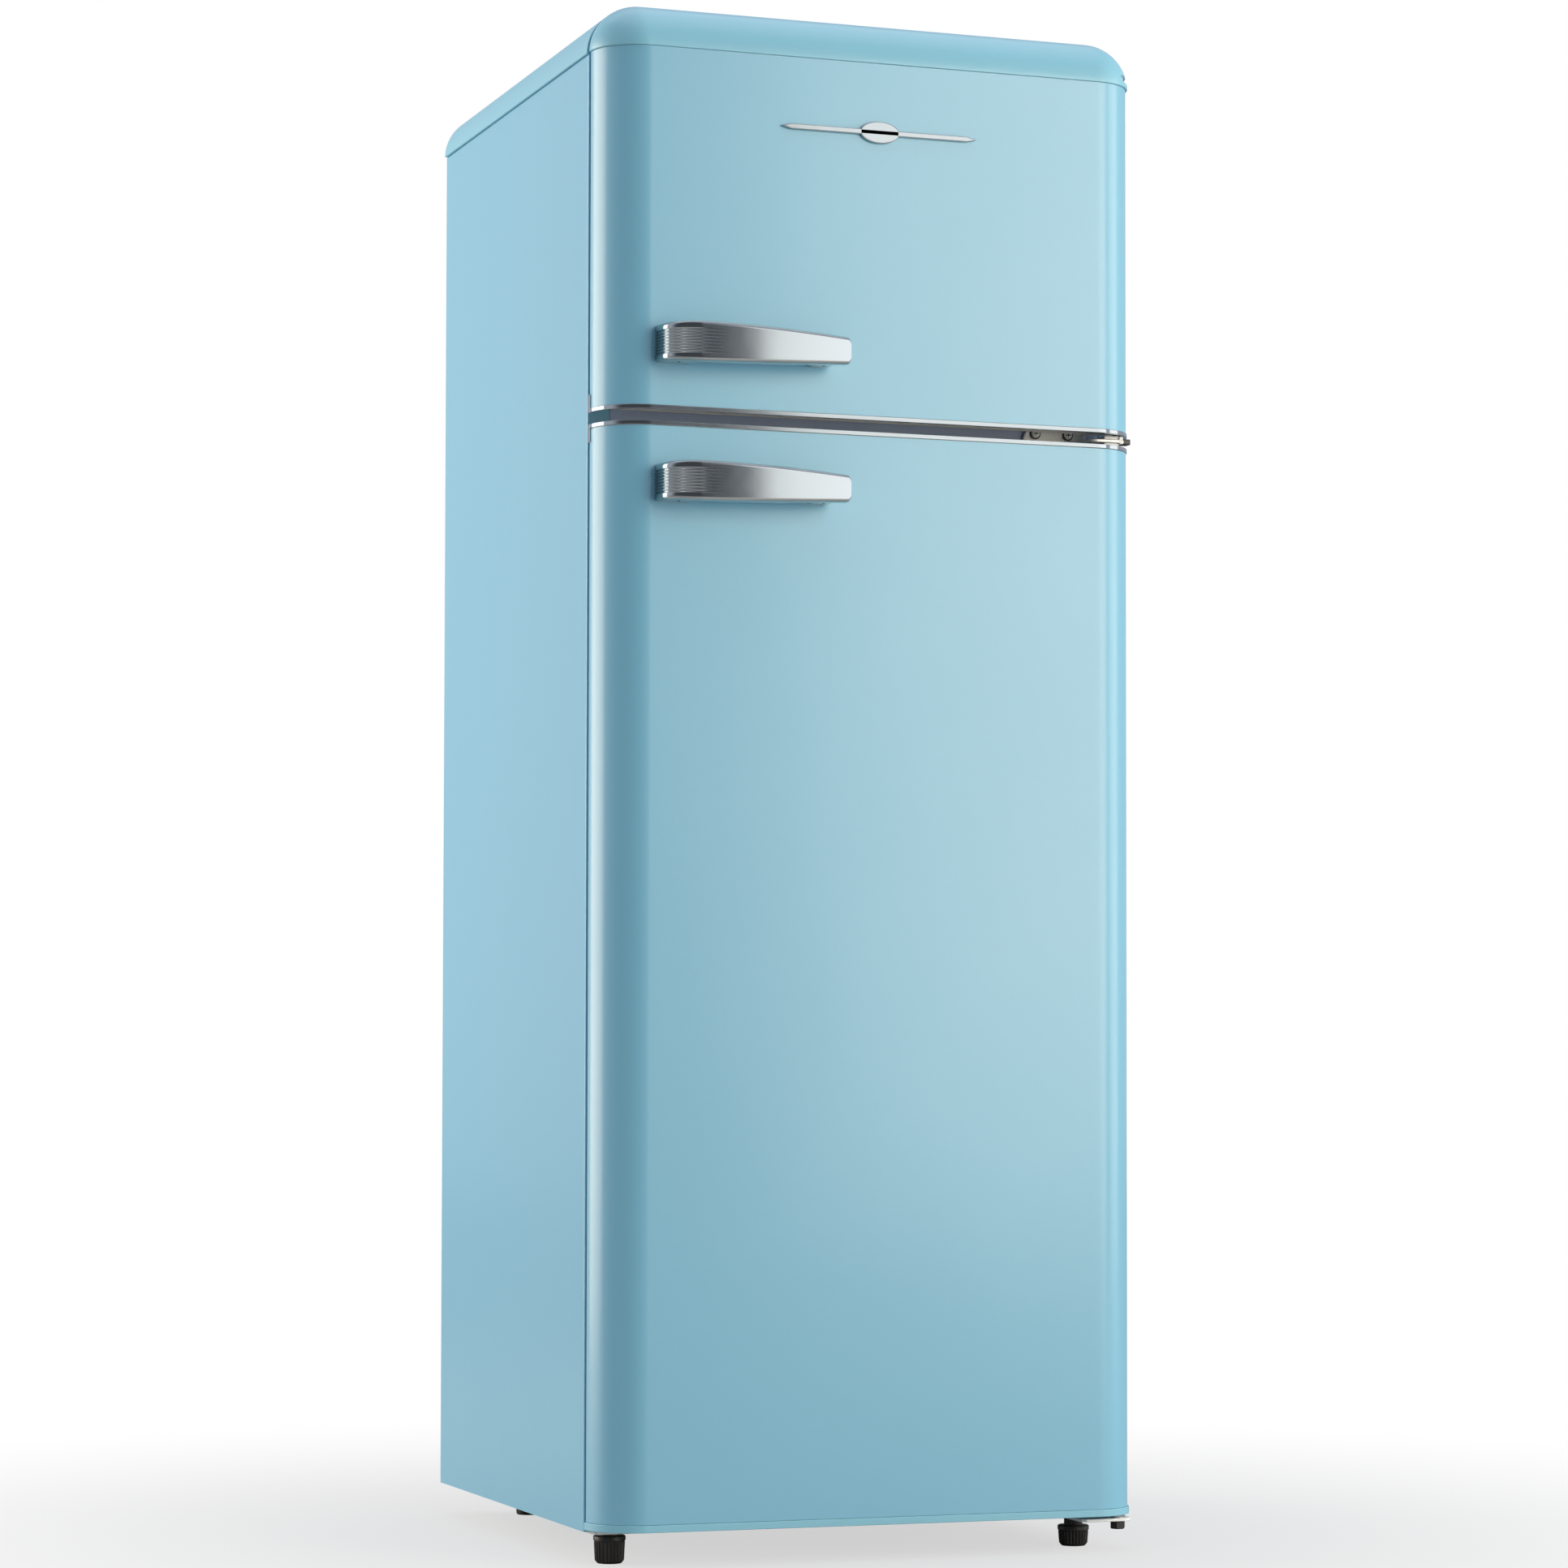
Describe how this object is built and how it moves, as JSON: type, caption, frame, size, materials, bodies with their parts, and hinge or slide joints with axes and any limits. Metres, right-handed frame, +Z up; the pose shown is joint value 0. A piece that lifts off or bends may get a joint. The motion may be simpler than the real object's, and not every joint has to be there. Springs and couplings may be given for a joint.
{
  "type": "top freezer refrigerator",
  "caption": "Retro two-door refrigerator with a rounded top, chrome bar handles, a freezer above a fridge space with glass shelves and a drawer, on levelling feet.",
  "frame": {"origin": "on the floor, at the middle of the footprint", "axes": "+X to the right seen from the front, +Y to the back, +Z up"},
  "size_m": [0.55, 0.615, 1.468],
  "materials": {
    "blue_paint": "gloss",
    "blue_plastic": "gloss",
    "rail_paint": "satin",
    "chrome": "polished",
    "zinc_steel": "satin",
    "white_plastic": "satin",
    "grey_plastic": "satin",
    "black_plastic": "matte",
    "black_steel": "satin",
    "gasket_rubber": "matte",
    "foam": "matte",
    "shelf_glass": "gloss",
    "clear_plastic": "gloss",
    "copper": "satin",
    "aluminium": "satin"
  },
  "bodies": {
    "cabinet": {"cabinet_shell": "blue_paint", "back_panel": "zinc_steel", "base_panel": "zinc_steel", "crossrail": "rail_paint", "bottom_rail": "rail_paint", "left_foot_bracket": "zinc_steel", "rear_foot_left": "black_plastic", "rear_foot_right": "black_plastic", "compressor_tray": "zinc_steel", "cord_gland": "black_plastic", "compressor": "black_steel", "relay_box": "black_plastic", "drip_tray": "grey_plastic", "filter_drier": "copper", "suction_pipe": "copper", "condenser": "black_steel", "freezer_liner": "white_plastic", "fridge_liner": "white_plastic", "freezer_evaporator": "aluminium", "cabinet_foam": "foam", "fridge_shelf_upper": "shelf_glass", "fridge_shelf_middle": "shelf_glass", "fridge_shelf_lower": "shelf_glass", "crisper_cover": "shelf_glass", "freezer_shelf": "shelf_glass", "control_housing": "white_plastic", "lamp_lens": "clear_plastic", "door_switch_body": "white_plastic", "bottom_hinge": "zinc_steel", "mid_hinge": "zinc_steel", "top_hinge": "zinc_steel", "top_cover": "blue_plastic"},
    "freezer_door": {"freezer_door_skin": "blue_paint", "freezer_door_rim": "chrome", "freezer_door_bottom_cap": "grey_plastic", "freezer_door_liner": "white_plastic", "freezer_gasket": "gasket_rubber", "freezer_door_top_cap": "blue_plastic", "freezer_door_foam": "foam", "freezer_handle": "chrome", "freezer_rack_upper": "clear_plastic", "freezer_rack_lower": "clear_plastic", "emblem": "chrome"},
    "fridge_door": {"fridge_door_skin": "blue_paint", "fridge_door_rim": "chrome", "fridge_door_top_cap": "grey_plastic", "fridge_door_liner": "white_plastic", "fridge_gasket": "gasket_rubber", "fridge_door_bottom_cap": "blue_plastic", "fridge_door_foam": "foam", "fridge_handle": "chrome", "fridge_rack_bottle": "clear_plastic", "fridge_rack_middle": "clear_plastic", "fridge_rack_upper": "clear_plastic"},
    "crisper": {"crisper_drawer": "clear_plastic"},
    "knob": {"thermostat_knob": "grey_plastic"},
    "light_switch": {"door_switch_plunger": "grey_plastic"},
    "left_foot": {"front_foot_left": "black_plastic"},
    "right_foot": {"front_foot_right": "black_plastic"}
  },
  "joints": [
    {"name": "freezer_door_hinge", "type": "hinge", "parent": "cabinet", "child": "freezer_door", "pos_m": [0.256, -0.249, 1.26], "axis": [0, 0, 1], "range_deg": [0, 100]},
    {"name": "fridge_door_hinge", "type": "hinge", "parent": "cabinet", "child": "fridge_door", "pos_m": [0.256, -0.249, 0.55], "axis": [0, 0, 1], "range_deg": [0, 100]},
    {"name": "crisper_slide", "type": "slide", "parent": "cabinet", "child": "crisper", "axis": [0, -1, 0], "range_m": [0, 0.025]},
    {"name": "thermostat_turn", "type": "hinge", "parent": "cabinet", "child": "knob", "pos_m": [0.20385, -0.13, 0.9519], "axis": [0, -1, 0], "range_deg": [0, 270]},
    {"name": "light_switch_push", "type": "slide", "parent": "cabinet", "child": "light_switch", "axis": [0, 1, 0], "range_m": [0, 0.005], "stiffness_N_per_m": 150},
    {"name": "left_foot_level", "type": "slide", "parent": "cabinet", "child": "left_foot", "axis": [0, 0, -1], "range_m": [0, 0.012]},
    {"name": "right_foot_level", "type": "slide", "parent": "cabinet", "child": "right_foot", "axis": [0, 0, -1], "range_m": [0, 0.012]}
  ]
}
